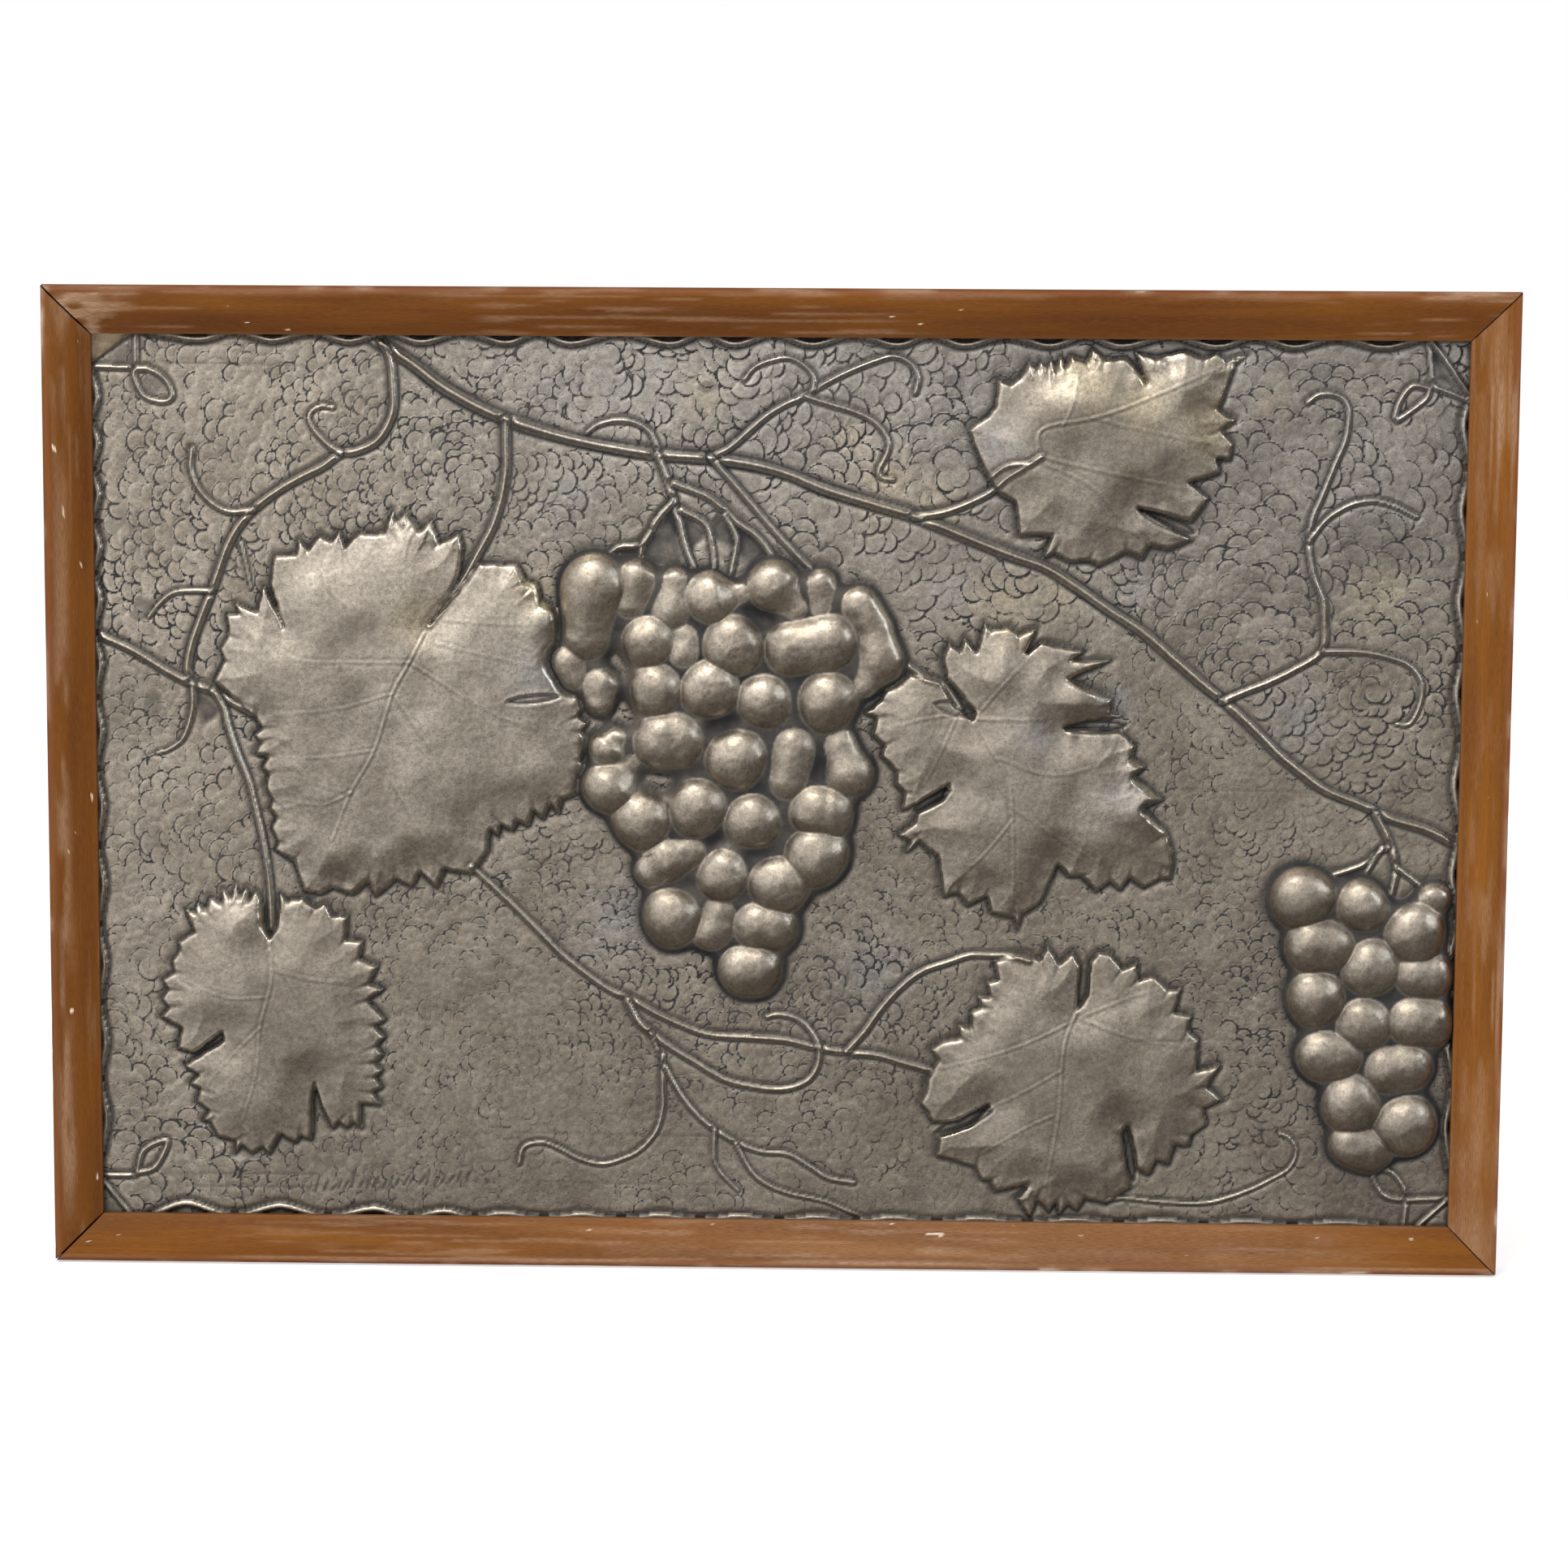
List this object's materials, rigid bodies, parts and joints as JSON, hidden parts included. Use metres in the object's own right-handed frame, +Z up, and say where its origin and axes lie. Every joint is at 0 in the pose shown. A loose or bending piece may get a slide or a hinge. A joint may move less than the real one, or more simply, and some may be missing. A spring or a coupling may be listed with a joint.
{
  "type": "decorative pewter panel",
  "caption": "Wall panel of raised pewter sheet with a grapevine, its leaves, tendrils and grapes, on a board in a mitred wooden frame.",
  "frame": {"origin": "middle of the back, on the plane that lies against the wall", "axes": "+X to the viewer's right along the width, +Z up, -Y out of the front towards the viewer"},
  "size_m": [0.61, 0.0228, 0.411],
  "materials": {
    "stained_wood": "worn orange-brown stain",
    "fibre_board": "raw fibre board",
    "pewter": "satin pewter, darkened in the hollows"
  },
  "bodies": {
    "root": {"backing_board": "fibre_board", "pewter_sheet": "pewter", "frame_rail_top": "stained_wood", "frame_rail_bottom": "stained_wood", "frame_rail_left": "stained_wood", "frame_rail_right": "stained_wood"}
  },
  "joints": []
}
